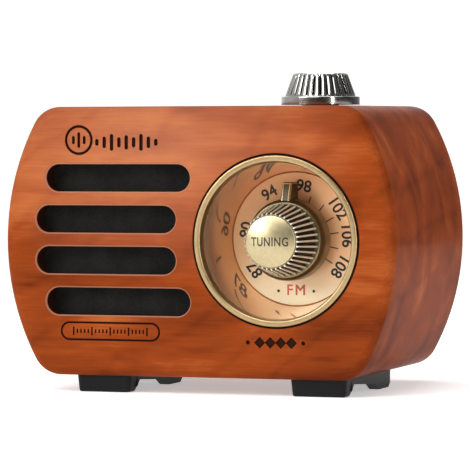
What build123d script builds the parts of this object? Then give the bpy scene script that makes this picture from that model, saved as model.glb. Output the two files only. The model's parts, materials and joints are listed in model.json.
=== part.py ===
"""A small table FM radio in a bowed wooden case, as an assembly of separate pieces.

+X is to the right, +Y to the back and +Z up. The origin is on the table under the middle of the
radio. All sizes are in millimetres.
"""

from build123d import *
from math import cos, pi, sin, sqrt
import os

os.makedirs("parts", exist_ok=True)

# ---- driving dimensions: the case ----
width = 120.0
height = 79.0
depth = 76.0
foot_height = 5.0
wall = 6.0
side_radius = 72.75  # of the bowed ends
corner_radius = 9.0
front_round = 3.3
back_round = 2.4
knob_reach = 5.6  # of the tuning knob, in front of the case
panel_inset = 3.2  # from the case's outside to the back panel's recess
panel_thickness = 3.0
glue_gap = 0.05  # between pieces that are glued or screwed together

y_front = (knob_reach - depth) / 2
y_back = y_front + depth
y_inside = y_front + wall
y_panel = y_back - panel_thickness
z_bottom = foot_height
z_centre = foot_height + height / 2
z_top = foot_height + height
z_floor = z_bottom + wall
z_ceiling = z_top - wall

# ---- driving dimensions: grille and speaker ----
slot_height = 8.04
slot_pitch = 12.06
long_slot = (-46.63, -1.67)  # left and right end of the outer two slots
short_slot = (-49.83, -6.09)  # and of the inner two
z_grille = z_centre + 0.54
x_speaker = -27.5
cloth_thickness = 0.6
gasket_thickness = 1.6
speaker_radius = 26.0
cone_radius = 18.6
coil_radius = 6.0
coil_clearance = 0.35
cone_travel = 0.5

# ---- driving dimensions: dial and tuning knob ----
x_dial = 24.5
z_dial = z_centre + 0.55
dial_hole_radius = 25.1
ring_radius = 24.8
ring_inner_radius = 22.9
ring_proud = 0.6
ring_depth = 2.0
plate_radius = 19.4
plate_depth = 19.2  # of the dial plate's face, behind the case's front
cup_thickness = 1.2
shaft_radius = 3.0
bush_radius = 3.5
running_gap = 0.05
tuning_ribs = 36

# ---- driving dimensions: volume knob ----
y_volume = 7.8
volume_height = 9.75
volume_flutes = 36

# ---- driving dimensions: board and sockets ----
board_left, board_right = -2.0, 36.0
board_front, board_back = -8.0, 35.8
board_thickness = 1.6
standoff_height = 4.0
z_board = z_floor + standoff_height + board_thickness
x_usb, x_led, x_aux, x_mode, x_power = 5.0, 11.8, 17.0, 23.5, 30.0
x_plate = 17.0
z_plate = 18.5
jack_radius = 1.8
button_travel = 0.5
power_travel = 3.0

# ---- driving dimensions: feet ----
x_feet = (-30.4, 35.9)
pad_width = 17.0
pad_length = 8.6
foot_length = 44.6
heel_width = 3.0
flange_thickness = 1.5
flange_lap = 2.0  # how far the flange runs into the pad
foot_screw_shift = 1.5
foot_screw_runs = (13.0, 39.1)  # from the foot's front
screw_radius = 1.2


def facing(y, x=0.0, z=z_centre):
    """A drawing plane at depth y that looks to the front, with its own x along +X and y along +Z."""
    return Plane(origin=(x, y, z), x_dir=(1, 0, 0), z_dir=(0, -1, 0))


def case_outline(inset=0.0):
    """The case as seen from the front, drawn inset all round by a distance."""
    reach = width / 2 - inset
    rise = height / 2 - inset
    bow_centre = width / 2 - side_radius
    corner = bow_centre + sqrt((side_radius - inset) ** 2 - rise**2)
    with BuildLine() as outline:
        Line((-corner, rise), (corner, rise))
        ThreePointArc((corner, rise), (reach, 0), (corner, -rise))
        Line((corner, -rise), (-corner, -rise))
        ThreePointArc((-corner, -rise), (-reach, 0), (-corner, rise))
    make_face(outline.edges())
    fillet(vertices(), corner_radius - inset)


def closed_profile(*points):
    with BuildLine() as outline:
        Polyline(*points, close=True)
    make_face(outline.edges())


def star(count, tip, root):
    """A ring of shallow ribs as an outline: its points lie in turn on the tips and in the grooves."""
    step = pi / count
    radii = [root if place % 2 else tip for place in range(2 * count)]
    closed_profile(*[(r * cos(k * step), r * sin(k * step)) for k, r in enumerate(radii)])


def turned(axis_origin, along, *points):
    """A solid turned round an axis along Y or Z. Each point is a radius and a place along the axis."""
    x, y, z = axis_origin
    if along == "Y":
        plane, axis = Plane(origin=(x, 0, z)), Axis((x, 0, z), (0, 1, 0))
    else:
        plane = Plane(origin=(x, y, 0), x_dir=(1, 0, 0), z_dir=(0, -1, 0))
        axis = Axis((x, y, 0), (0, 0, 1))
    with BuildPart() as piece:
        with BuildSketch(plane):
            closed_profile(*points)
        revolve(axis=axis)
    return piece.part


def save(name, piece):
    piece.label = name
    export_step(piece, f"parts/{name}.step")


def speaker_screw_places():
    """The four screws go into the wood between the grille's slots."""
    radius = speaker_radius - 1.7
    across = sqrt(radius**2 - slot_pitch**2)
    return [(sx * across, sz * slot_pitch) for sx in (-1, 1) for sz in (-1, 1)]


ear_radius = 27.2
ear_places = PolarLocations(ear_radius, 4, start_angle=45)
back_screw_places = [(sx * 43.0, sz * 28.0) for sx in (-1, 1) for sz in (-1, 1)]
y_foot_front = y_front + 4.0
foot_screw_places = [(x - foot_screw_shift, y_foot_front + run) for x in x_feet for run in foot_screw_runs]

# ---- the wooden case, one piece with its front ----
with BuildPart() as cabinet:
    with BuildSketch(facing(y_front)):
        case_outline()
    extrude(amount=-depth)
    fillet(faces().sort_by(Axis.Y)[0].edges(), front_round)
    fillet(faces().sort_by(Axis.Y)[-1].edges(), back_round)
    with BuildSketch(facing(y_inside)):
        case_outline(wall)
    extrude(amount=-depth, mode=Mode.SUBTRACT)
    with BuildSketch(facing(y_panel)):
        case_outline(panel_inset)
    extrude(amount=-depth, mode=Mode.SUBTRACT)
    with BuildSketch(facing(y_front, 0, z_grille)):
        for row in (-1.5, -0.5, 0.5, 1.5):
            left, right = long_slot if abs(row) > 1 else short_slot
            with Locations(((left + right) / 2, row * slot_pitch)):
                SlotOverall(right - left, slot_height)
    extrude(amount=-wall, mode=Mode.SUBTRACT)
    chamfer(faces().sort_by(Axis.Y)[0].inner_wires().edges(), 0.5)
    with BuildSketch(facing(y_front, x_dial, z_dial)):
        Circle(dial_hole_radius)
    extrude(amount=-wall, mode=Mode.SUBTRACT)
    # shallow engraved ornaments: a ringed mark, a row of level bars, a scale in a frame, diamonds
    with BuildSketch(facing(y_front)):
        with Locations((-36.1, 29.7)):
            Circle(4.4)
            Circle(3.6, mode=Mode.SUBTRACT)
            for x, bar in ((-1.7, 2.4), (0, 4.6), (1.7, 2.4)):
                with Locations((x, 0)):
                    SlotOverall(bar, 0.9, rotation=90)
        for place, bar in enumerate((2.0, 3.4, 4.9, 3.0, 4.2, 3.0, 4.9, 3.4, 2.0)):
            with Locations((-30.4 + 2.3 * place, 29.0)):
                SlotOverall(bar, 1.1, rotation=90)
        with Locations((-26.5, -26.3)):
            SlotOverall(31.2, 5.6)
            SlotOverall(30.0, 4.4, mode=Mode.SUBTRACT)
        for place in range(21):
            with Locations((-38.0 + 1.15 * place, -26.3)):
                Rectangle(0.5, 1.2 if place % 5 else 2.4)
        with Locations(*[(x_dial + 3.2 * step, -28.75) for step in (-1.5, -0.5, 0.5, 1.5)]):
            RegularPolygon(1.7, 4)
        with Locations((x_dial - 8.4, -28.75), (x_dial + 8.4, -28.75)):
            Circle(0.6)
    extrude(amount=-0.5, mode=Mode.SUBTRACT)
    # hole for the volume control's bush, and pilot holes for the screws
    with BuildSketch(Plane.XY.offset(z_top)):
        with Locations((x_dial, y_volume)):
            Circle(bush_radius + 0.1)
    extrude(amount=-wall, mode=Mode.SUBTRACT)
    with BuildSketch(facing(y_inside, x_dial, z_dial)):
        with ear_places:
            Circle(1.05)
    extrude(amount=4.0, mode=Mode.SUBTRACT)
    with BuildSketch(facing(y_inside, x_speaker, z_grille)):
        with Locations(*speaker_screw_places()):
            Circle(1.05)
    extrude(amount=4.0, mode=Mode.SUBTRACT)
    with BuildSketch(Plane.XY.offset(z_bottom)):
        with Locations(*foot_screw_places):
            Circle(screw_radius + glue_gap)
    extrude(amount=4.8, mode=Mode.SUBTRACT)
save("cabinet", cabinet.part)

# ---- back panel, its corner blocks and its screws ----
plate_window = (38.0, 12.0)
with BuildPart() as back_panel:
    with BuildSketch(facing(y_panel)):
        case_outline(panel_inset + 0.15)
        with Locations((x_plate, z_plate - z_centre)):
            RectangleRounded(*plate_window, 2.0, mode=Mode.SUBTRACT)
        with Locations(*[(x_speaker, 6.0 + 5.0 * row) for row in range(5)]):
            SlotOverall(26.0, 2.4, mode=Mode.SUBTRACT)
        with Locations(*back_screw_places):
            Circle(1.35, mode=Mode.SUBTRACT)
    extrude(amount=-panel_thickness)
    with BuildSketch(facing(y_back)):
        with Locations(*back_screw_places):
            Circle(2.45)
    extrude(amount=1.2, taper=40, mode=Mode.SUBTRACT)
    chamfer(faces().sort_by(Axis.Y)[-1].outer_wire().edges(), 0.4)
save("back_panel", back_panel.part)

block_length = 12.0
with BuildPart() as corner_blocks:
    with BuildSketch(facing(y_panel)):
        case_outline(wall + glue_gap)
        with Locations(*[(sx * 44.0, sz * 29.0) for sx in (-1, 1) for sz in (-1, 1)]):
            Rectangle(10.0, 14.0, mode=Mode.INTERSECT)
        with Locations(*back_screw_places):
            Circle(1.35, mode=Mode.SUBTRACT)
    extrude(amount=block_length)
save("corner_blocks", corner_blocks.part)

with BuildPart() as back_screws:
    with BuildSketch(facing(y_back - 0.1)):
        with Locations(*back_screw_places):
            Circle(2.25)
    extrude(amount=1.1, taper=40)
    with BuildSketch(facing(y_back - 0.1)):
        with Locations(*back_screw_places):
            Circle(1.3)
    extrude(amount=11.0)
    with BuildSketch(facing(y_back - 0.1)):
        with Locations(*back_screw_places):
            Rectangle(2.6, 0.5)
            Rectangle(0.5, 2.6)
    extrude(amount=0.6, mode=Mode.SUBTRACT)
save("back_screws", back_screws.part)

# ---- grille cloth and speaker ----
with BuildPart() as speaker_cloth:
    with BuildSketch(facing(y_inside)):
        case_outline(wall + 0.3)
        with Locations((-25.4, z_grille - z_centre)):
            Rectangle(52.0, 52.0, mode=Mode.INTERSECT)
        with Locations((x_speaker, z_grille - z_centre)):
            with Locations(*speaker_screw_places()):
                Circle(1.05, mode=Mode.SUBTRACT)
    extrude(amount=-cloth_thickness)
save("speaker_cloth", speaker_cloth.part)

y_gasket = y_inside + cloth_thickness
y_flange = y_gasket + gasket_thickness
lip_radius = speaker_radius - 3.6
with BuildPart() as speaker_gasket:
    with BuildSketch(facing(y_gasket, x_speaker, z_grille)):
        Circle(speaker_radius)
        Circle(lip_radius + 0.2, mode=Mode.SUBTRACT)
        with Locations(*speaker_screw_places()):
            Circle(1.05, mode=Mode.SUBTRACT)
    extrude(amount=-gasket_thickness)
save("speaker_gasket", speaker_gasket.part)

speaker = (x_speaker, 0, z_grille)
y_rear_disc = y_flange + 10.7
with BuildPart() as speaker_basket:
    with BuildSketch(Plane(origin=speaker)):
        closed_profile(
            (speaker_radius, y_flange),
            (speaker_radius, y_flange + 1.2),
            (lip_radius - 0.6, y_flange + 1.2),
            (15.0, y_rear_disc + 0.8),
            (7.2, y_rear_disc + 0.8),
            (7.2, y_rear_disc),
            (14.4, y_rear_disc),
            (lip_radius - 1.4, y_flange + 1.3),
            (lip_radius - 1.4, y_flange),
        )
    revolve(axis=Axis(speaker, (0, 1, 0)))
    with BuildSketch(facing(y_flange + 2.2, x_speaker, z_grille)):
        with PolarLocations(17.8, 4, start_angle=0):
            SlotOverall(13.0, 4.6, rotation=90)
    extrude(amount=-7.5, mode=Mode.SUBTRACT)
    with BuildSketch(facing(y_flange, x_speaker, z_grille)):
        with Locations(*speaker_screw_places()):
            Circle(1.05)
    extrude(amount=-1.2, mode=Mode.SUBTRACT)
save("speaker_basket", speaker_basket.part)

y_cone = y_flange - 0.3
y_neck = y_flange + 7.9
cone = turned(
    speaker,
    "Y",
    (cone_radius, y_cone),
    (cone_radius, y_cone + 0.6),
    (coil_radius + 0.5, y_neck + 0.6),
    (coil_radius + 0.5, y_neck),
)
save("speaker_cone", cone)

with BuildPart() as speaker_surround:
    with BuildSketch(Plane(origin=speaker)):
        mid = (cone_radius + lip_radius - 1.5) / 2
        roll = mid - cone_radius
        with BuildLine():
            Line((lip_radius, y_flange - 0.3), (lip_radius, y_flange - glue_gap))
            Line((lip_radius, y_flange - glue_gap), (mid + roll, y_flange - glue_gap))
            ThreePointArc(
                (mid + roll, y_flange - glue_gap),
                (mid, y_flange - glue_gap + roll),
                (mid - roll + glue_gap, y_flange - glue_gap),
            )
            Line((mid - roll + glue_gap, y_flange - glue_gap), (mid - roll + glue_gap, y_flange - 0.3))
            Line((mid - roll + glue_gap, y_flange - 0.3), (mid - roll + 0.3, y_flange - 0.3))
            ThreePointArc(
                (mid - roll + 0.3, y_flange - 0.3),
                (mid, y_flange - 0.6 + roll),
                (mid + roll - 0.3, y_flange - 0.3),
            )
            Line((mid + roll - 0.3, y_flange - 0.3), (lip_radius, y_flange - 0.3))
        make_face()
    revolve(axis=Axis(speaker, (0, 1, 0)))
save("speaker_surround", speaker_surround.part)

cap_base = y_neck - 0.7
with BuildPart() as dust_cap:
    with BuildSketch(Plane(origin=speaker)):
        with BuildLine():
            TangentArc((0, cap_base - 2.4), (6.9, cap_base), tangent=(1, 0))
            Line((0, cap_base - 2.4), (0, cap_base - 2.0))
            TangentArc((0, cap_base - 2.0), (6.4, cap_base), tangent=(1, 0))
            Line((6.4, cap_base), (6.9, cap_base))
        make_face()
    revolve(axis=Axis(speaker, (0, 1, 0)))
save("dust_cap", dust_cap.part)

y_gap_plate = y_rear_disc + 0.8
y_magnet = y_gap_plate + 2.0
y_yoke = y_magnet + 6.0
pole_radius = coil_radius - coil_clearance - 0.05
voice_coil = turned(
    speaker,
    "Y",
    (coil_radius - 0.05, y_neck - 0.4),
    (coil_radius + 0.25, y_neck - 0.4),
    (coil_radius + 0.25, y_gap_plate - 0.3),
    (coil_radius + 0.55, y_gap_plate - 0.3),
    (coil_radius + 0.55, y_magnet + 0.6),
    (coil_radius - 0.05, y_magnet + 0.6),
)
save("voice_coil", voice_coil)
gap_radius = coil_radius + 0.55 + coil_clearance
gap_plate = turned(
    speaker,
    "Y",
    (14.0, y_gap_plate),
    (14.0, y_magnet),
    (gap_radius, y_magnet),
    (gap_radius, y_gap_plate),
)
save("speaker_gap_plate", gap_plate)
magnet = turned(
    speaker, "Y", (16.0, y_magnet), (16.0, y_yoke), (8.0, y_yoke), (8.0, y_magnet)
)
save("speaker_magnet", magnet)
yoke = turned(
    speaker,
    "Y",
    (0, y_gap_plate + 0.2),
    (pole_radius, y_gap_plate + 0.2),
    (pole_radius, y_yoke),
    (14.0, y_yoke),
    (14.0, y_yoke + 2.0),
    (0, y_yoke + 2.0),
)
save("speaker_yoke", yoke)

with BuildPart() as speaker_screws:
    with BuildSketch(facing(y_flange + 1.2, x_speaker, z_grille)):
        with Locations(*speaker_screw_places()):
            Circle(1.0)
    extrude(amount=1.2 + gasket_thickness + cloth_thickness + 3.6)
    with BuildSketch(facing(y_flange + 2.2, x_speaker, z_grille)):
        with Locations(*speaker_screw_places()):
            Circle(1.6)
    extrude(amount=1.0)
save("speaker_screws", speaker_screws.part)

strip_height = 7.5
y_strip = y_flange + 6.0
with BuildPart() as terminal_strip:
    with BuildSketch(facing(y_strip, x_speaker, z_grille - 22.4)):
        Rectangle(9.0, strip_height)
    extrude(amount=-1.0)
save("terminal_strip", terminal_strip.part)

# ---- dial: bright ring, tapered cup, plate, screws ----
dial = (x_dial, 0, z_dial)
y_cup = y_front + ring_depth
y_plate = y_front + plate_depth
y_cup_floor = y_plate + 0.5
y_cup_back = y_cup_floor + cup_thickness
taper = (ring_inner_radius - plate_radius - 0.2) / plate_depth


def cup_radius(y):
    """The inside radius of the tapered dial cup at depth y."""
    return ring_inner_radius - taper * (y - y_front)


bezel = turned(
    dial,
    "Y",
    (cup_radius(y_cup), y_cup),
    (ring_inner_radius, y_front - ring_proud + 0.4),
    (ring_inner_radius + 0.4, y_front - ring_proud),
    (ring_radius - 0.4, y_front - ring_proud),
    (ring_radius, y_front - ring_proud + 0.4),
    (ring_radius, y_cup),
)
save("dial_ring", bezel)

with BuildPart() as dial_cup:
    with BuildSketch(Plane(origin=dial)):
        closed_profile(
            (0, y_cup),
            (cup_radius(y_cup) + cup_thickness, y_cup),
            (cup_radius(y_cup_floor) + cup_thickness, y_cup_back),
            (0, y_cup_back),
        )
    revolve(axis=Axis(dial, (0, 1, 0)))
    with BuildSketch(facing(y_inside, x_dial, z_dial)):
        with ear_places:
            Circle(2.8)
        with PolarLocations(ear_radius - 3.0, 4, start_angle=45):
            Rectangle(6.0, 5.6)
    extrude(amount=-cup_thickness)
    with BuildSketch(Plane(origin=dial)):
        closed_profile(
            (0, y_cup),
            (cup_radius(y_cup), y_cup),
            (cup_radius(y_cup_floor), y_cup_floor),
            (0, y_cup_floor),
        )
    revolve(axis=Axis(dial, (0, 1, 0)), mode=Mode.SUBTRACT)
    with BuildSketch(facing(y_inside, x_dial, z_dial)):
        with ear_places:
            Circle(1.05)
    extrude(amount=-cup_thickness, mode=Mode.SUBTRACT)
    with BuildSketch(facing(y_cup_floor, x_dial, z_dial)):
        Circle(bush_radius + 0.1)
    extrude(amount=-cup_thickness, mode=Mode.SUBTRACT)
save("dial_cup", dial_cup.part)

with BuildPart() as dial_plate:
    with BuildSketch(facing(y_plate, x_dial, z_dial)):
        Circle(plate_radius)
        Circle(bush_radius + 0.1, mode=Mode.SUBTRACT)
    extrude(amount=-0.5)
save("dial_plate", dial_plate.part)

with BuildPart() as dial_screws:
    with BuildSketch(facing(y_inside + cup_thickness, x_dial, z_dial)):
        with ear_places:
            Circle(1.0)
    extrude(amount=cup_thickness + 3.6)
    with BuildSketch(facing(y_inside + cup_thickness + 1.0, x_dial, z_dial)):
        with ear_places:
            Circle(1.8)
    extrude(amount=1.0)
save("dial_screws", dial_screws.part)

# ---- tuning knob on its shaft ----
y_knob_face = y_front - 4.0
y_knob_base = y_front + 8.0
y_skirt_back = y_front + 15.0
knob_face_radius = 8.2
knob_base_radius = 10.7
rib_depth = 0.4
cap_seat_radius = knob_face_radius - 0.6
bore_radius = shaft_radius + 0.02
cap_seat = 1.2
with BuildPart() as tuning_knob:
    with BuildSketch(facing(y_knob_base, x_dial, z_dial)):
        star(tuning_ribs, knob_base_radius, knob_base_radius - rib_depth)
    with BuildSketch(facing(y_knob_face, x_dial, z_dial)):
        star(tuning_ribs, knob_face_radius, knob_face_radius - rib_depth)
    loft(ruled=True)
    with BuildSketch(facing(y_knob_face, x_dial, z_dial)):
        Circle(cap_seat_radius)
    extrude(amount=-cap_seat, mode=Mode.SUBTRACT)
    with BuildSketch(facing(y_knob_base, x_dial, z_dial)):
        Circle(bore_radius)
    extrude(amount=y_knob_base - y_knob_face, mode=Mode.SUBTRACT)
save("tuning_knob", tuning_knob.part)

cap_radius = cap_seat_radius - 0.05
y_cap_rim = y_knob_face - 0.35
with BuildPart() as knob_cap:
    with BuildSketch(Plane(origin=dial)):
        with BuildLine():
            Line((0, y_knob_face + cap_seat), (cap_radius, y_knob_face + cap_seat))
            Line((cap_radius, y_knob_face + cap_seat), (cap_radius, y_cap_rim))
            TangentArc((0, y_front - knob_reach), (cap_radius, y_cap_rim), tangent=(1, 0))
            Line((0, y_front - knob_reach), (0, y_knob_face + cap_seat))
        make_face()
    revolve(axis=Axis(dial, (0, 1, 0)))
save("knob_cap", knob_cap.part)

pointer_reach = 16.8
pointer_width = 2.4
with BuildPart() as pointer_skirt:
    with BuildSketch(Plane(origin=dial)):
        closed_profile(
            (bore_radius, y_knob_base),
            (11.2, y_knob_base),
            (11.6, y_knob_base + 0.5),
            (12.0, y_skirt_back - 0.5),
            (11.6, y_skirt_back),
            (bore_radius, y_skirt_back),
        )
    revolve(axis=Axis(dial, (0, 1, 0)))
    with BuildSketch(Plane(origin=(x_dial, 0, z_dial), x_dir=(0, 1, 0), z_dir=(1, 0, 0))):
        closed_profile(
            (y_knob_base + 0.4, 9.0),
            (y_knob_base + 0.4, 12.5),
            (y_knob_base + 3.0, pointer_reach),
            (y_skirt_back + 1.8, pointer_reach),
            (y_skirt_back + 1.8, 12.5),
            (y_skirt_back, 11.0),
            (y_skirt_back, 9.0),
        )
    extrude(amount=pointer_width / 2, both=True)
save("pointer_skirt", pointer_skirt.part)


def control_body(origin_plane, bush_length):
    """A rotary control: a square body behind a mounting bush, with a bore for the shaft."""
    with BuildPart() as control:
        with BuildSketch(origin_plane):
            RectangleRounded(17.0, 17.0, 1.5)
        extrude(amount=-7.0)
        with BuildSketch(origin_plane):
            Circle(bush_radius)
        extrude(amount=bush_length)
        with BuildSketch(origin_plane.offset(bush_length)):
            Circle(shaft_radius + running_gap)
        extrude(amount=-bush_length - 6.0, mode=Mode.SUBTRACT)
    return control.part


def hex_nut(origin_plane, thickness):
    with BuildPart() as nut:
        with BuildSketch(origin_plane):
            RegularPolygon(5.0, 6, major_radius=False)
            Circle(bush_radius + glue_gap, mode=Mode.SUBTRACT)
        extrude(amount=thickness)
    return nut.part


def plain_shaft(origin_plane, start, end):
    """A round shaft along the plane's normal, chamfered at its far end."""
    with BuildPart() as shaft:
        with BuildSketch(origin_plane.offset(start)):
            Circle(shaft_radius)
        extrude(amount=end - start)
        chamfer(faces().sort_by(Axis(origin_plane.origin, origin_plane.z_dir))[-1].edges(), 0.4)
    return shaft.part


dial_mount = facing(y_cup_back, x_dial, z_dial)
save("tuning_control", control_body(dial_mount, 4.3))
save("tuning_nut", hex_nut(facing(y_plate, x_dial, z_dial), 2.0))
save("tuning_shaft", plain_shaft(dial_mount, -5.5, y_cup_back - y_knob_face - cap_seat - 0.1))

# ---- volume knob on top ----
z_knob_gap = z_top + 0.4
z_skirt_top = z_top + 2.9
z_knob_top = z_top + volume_height
skirt_hollow_radius = 7.2
volume = (x_dial, y_volume, 0)
skirt = turned(
    volume,
    "Z",
    (skirt_hollow_radius, z_knob_gap),
    (11.3, z_knob_gap),
    (11.8, z_knob_gap + 0.5),
    (11.8, z_skirt_top - 0.8),
    (11.0, z_skirt_top),
    (bore_radius, z_skirt_top),
    (bore_radius, z_skirt_top - 0.6),
    (skirt_hollow_radius, z_skirt_top - 0.6),
)
save("volume_skirt", skirt)

volume_base_radius = 10.6
volume_face_radius = 8.1
volume_seat_radius = 7.2
volume_plane = Plane(origin=(x_dial, y_volume, z_skirt_top))
rise = z_knob_top - z_skirt_top
with BuildPart() as volume_knob:
    with BuildSketch(volume_plane):
        star(volume_flutes, volume_base_radius, volume_base_radius - rib_depth)
    with BuildSketch(volume_plane.offset(rise)):
        star(volume_flutes, volume_face_radius, volume_face_radius - rib_depth)
    loft(ruled=True)
    with BuildSketch(volume_plane.offset(rise)):
        Circle(volume_seat_radius)
    extrude(amount=-1.0, mode=Mode.SUBTRACT)
    with BuildSketch(volume_plane):
        Circle(bore_radius)
    extrude(amount=rise, mode=Mode.SUBTRACT)
save("volume_knob", volume_knob.part)

volume_cap = turned(
    volume,
    "Z",
    (0, z_knob_top - 1.0),
    (volume_seat_radius - 0.05, z_knob_top - 1.0),
    (volume_seat_radius - 0.05, z_knob_top - 0.3),
    (6.0, z_knob_top - 0.05),
    (0, z_knob_top - 0.05),
)
save("volume_cap", volume_cap)

volume_mount = Plane(origin=(x_dial, y_volume, z_ceiling))
save("volume_control", control_body(volume_mount, wall + 1.8))
save("volume_nut", hex_nut(Plane(origin=(x_dial, y_volume, z_top)), 1.8))
save("volume_shaft", plain_shaft(volume_mount, -5.5, z_knob_top - 1.1 - z_ceiling))

# ---- main board on its standoffs ----
standoff_places = [(1.0, -5.0), (33.0, -5.0), (1.0, 30.0), (33.0, 22.0)]
screw_hole = 1.15
board_centre = ((board_left + board_right) / 2, (board_front + board_back) / 2)
with BuildPart() as main_board:
    with BuildSketch(Plane.XY.offset(z_board - board_thickness)):
        with Locations(board_centre):
            RectangleRounded(board_right - board_left, board_back - board_front, 1.0)
        with Locations(*standoff_places):
            Circle(screw_hole, mode=Mode.SUBTRACT)
    extrude(amount=board_thickness)
save("main_board", main_board.part)

with BuildPart() as standoffs:
    with BuildSketch(Plane.XY.offset(z_floor)):
        with Locations(*standoff_places):
            Circle(2.4)
            Circle(screw_hole, mode=Mode.SUBTRACT)
    extrude(amount=standoff_height)
save("standoffs", standoffs.part)

with BuildPart() as board_screws:
    with BuildSketch(Plane.XY.offset(z_floor + 0.4)):
        with Locations(*standoff_places):
            Circle(1.1)
    extrude(amount=z_board - z_floor - 0.4)
    with BuildSketch(Plane.XY.offset(z_board)):
        with Locations(*standoff_places):
            Circle(1.9)
    extrude(amount=1.2)
save("board_screws", board_screws.part)

with BuildPart() as chips:
    for x, y, long, wide, tall in ((27, 5, 7, 7, 1.0), (18, 6, 8.6, 4, 1.5), (12, -3, 5, 4, 1.5)):
        with BuildSketch(Plane.XY.offset(z_board)):
            with Locations((x, y)):
                Rectangle(long, wide)
        extrude(amount=tall)
save("chips", chips.part)

with BuildPart() as capacitors:
    with BuildSketch(Plane.XY.offset(z_board)):
        with Locations((27.5, 12.5), (33.0, 12.5), (33.0, 7.0)):
            Circle(2.3)
    extrude(amount=6.0)
    fillet(faces().group_by(Axis.Z)[-1].edges(), 0.4)
save("capacitors", capacitors.part)

coil_place = (8.0, 6.0, z_board + 1.6)
with BuildPart() as coil:
    with BuildSketch(Plane(origin=coil_place, x_dir=(1, 0, 0), z_dir=(0, -1, 0))):
        with Locations((2.6, 0)):
            Circle(1.5)
    revolve(axis=Axis(coil_place, (0, 0, 1)))
save("coil", coil.part)

header_size = (4.0, 8.0, 3.6)  # of the two plugs at the board's left edge
headers = {
    "speaker": (1.0, 2.0, *header_size[:2]),
    "battery": (1.0, 14.0, *header_size[:2]),
    "volume": (14.0, 15.0, 10.0, 4.0),
    "tuning": (23.0, -4.0, 10.0, 4.0),
}
with BuildPart() as wire_headers:
    with BuildSketch(Plane.XY.offset(z_board)):
        for x, y, long, wide in headers.values():
            with Locations((x, y)):
                Rectangle(long, wide)
    extrude(amount=header_size[2])
save("wire_headers", wire_headers.part)

# ---- sockets and switches along the board's back edge, behind their plate ----
flange_thickness = 1.4
y_flange_plate = y_panel - flange_thickness
y_plate_face = y_back - 0.5
z_usb = z_board + 1.6
z_jack = z_board + 3.0
z_button = z_board + 3.8
z_power = z_board + 2.2
button_radius = 2.3
slider_size = (3.0, 2.6)
power_window = (slider_size[0] + power_travel + 0.6, slider_size[1] + 0.4)
with BuildPart() as socket_plate:
    with BuildSketch(facing(y_flange_plate, x_plate, z_plate)):
        RectangleRounded(43.0, 14.6, 1.5)
    extrude(amount=-flange_thickness)
    with BuildSketch(facing(y_panel, x_plate, z_plate)):
        RectangleRounded(plate_window[0] - 0.2, plate_window[1] - 0.2, 1.9)
    extrude(amount=y_panel - y_plate_face)
    with BuildSketch(facing(y_flange_plate, 0, 0)):
        with Locations((x_usb, z_usb)):
            RectangleRounded(9.3, 3.5, 1.0)
        with Locations((x_led, z_jack)):
            Circle(1.6)
        with Locations((x_aux, z_jack)):
            Circle(3.1)
        with Locations((x_mode, z_button)):
            Circle(button_radius + 0.1)
        with Locations((x_power + power_travel / 2, z_power)):
            Rectangle(*power_window)
        with Locations((x_plate - 20.3, z_plate), (x_plate + 20.3, z_plate)):
            Circle(0.8)
    extrude(amount=-flange_thickness - 3.0, mode=Mode.SUBTRACT)
save("socket_plate", socket_plate.part)

with BuildPart() as usb_socket:
    with BuildSketch(facing(y_plate_face, x_usb, z_usb)):
        RectangleRounded(9.0, 3.2, 0.9)
    extrude(amount=8.0)
    with BuildSketch(facing(y_plate_face, x_usb, z_usb)):
        RectangleRounded(8.3, 2.5, 0.6)
        Rectangle(6.4, 0.7, mode=Mode.SUBTRACT)
    extrude(amount=6.4, mode=Mode.SUBTRACT)
save("usb_socket", usb_socket.part)

jack_length = 12.0
with BuildPart() as aux_socket:
    with BuildSketch(facing(y_flange_plate - 0.1, x_aux, z_jack)):
        Rectangle(6.4, 6.0)
    extrude(amount=jack_length)
    with BuildSketch(facing(y_flange_plate - 0.1, x_aux, z_jack)):
        Circle(3.0)
    extrude(amount=-(y_plate_face - y_flange_plate))
    with BuildSketch(facing(y_plate_face - 0.1, x_aux, z_jack)):
        Circle(jack_radius)
    extrude(amount=jack_length, mode=Mode.SUBTRACT)
save("aux_socket", aux_socket.part)

with BuildPart() as status_led:
    with BuildSketch(Plane.XY.offset(z_board)):
        with Locations((x_led, y_flange_plate - 2.6)):
            Rectangle(3.6, 3.6)
    extrude(amount=z_jack - z_board + 1.8)
    with BuildSketch(facing(y_flange_plate - 0.8, x_led, z_jack)):
        Circle(1.5)
    extrude(amount=-(y_plate_face - y_flange_plate) - 0.8)
    fillet(faces().sort_by(Axis.Y)[-1].edges(), 0.7)
save("status_led", status_led.part)

y_switch = y_flange_plate - 1.8
with BuildPart() as mode_switch:
    with BuildSketch(facing(y_switch, x_mode, z_button)):
        Rectangle(6.0, 2 * (z_button - z_board))
    extrude(amount=3.6)
save("mode_switch", mode_switch.part)

with BuildPart() as mode_button:
    with BuildSketch(facing(y_switch + button_travel + 0.1, x_mode, z_button)):
        Circle(button_radius + 0.9)
    extrude(amount=-0.8)
    with BuildSketch(facing(y_switch + button_travel + 0.9, x_mode, z_button)):
        Circle(button_radius)
    extrude(amount=-(y_back - y_switch - button_travel - 1.0))
    fillet(faces().sort_by(Axis.Y)[-1].edges(), 0.4)
save("mode_button", mode_button.part)

slot_play = 0.15
with BuildPart() as power_switch:
    with BuildSketch(facing(y_flange_plate - 0.2, x_power + power_travel / 2, z_power)):
        Rectangle(9.0, 4.4)
    extrude(amount=4.0)
    with BuildSketch(facing(y_flange_plate - 0.2, x_power + power_travel / 2, z_power)):
        Rectangle(power_travel + 2.0 + 2 * slot_play, 1.6 + 2 * slot_play)
    extrude(amount=2.0, mode=Mode.SUBTRACT)
save("power_switch", power_switch.part)

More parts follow.
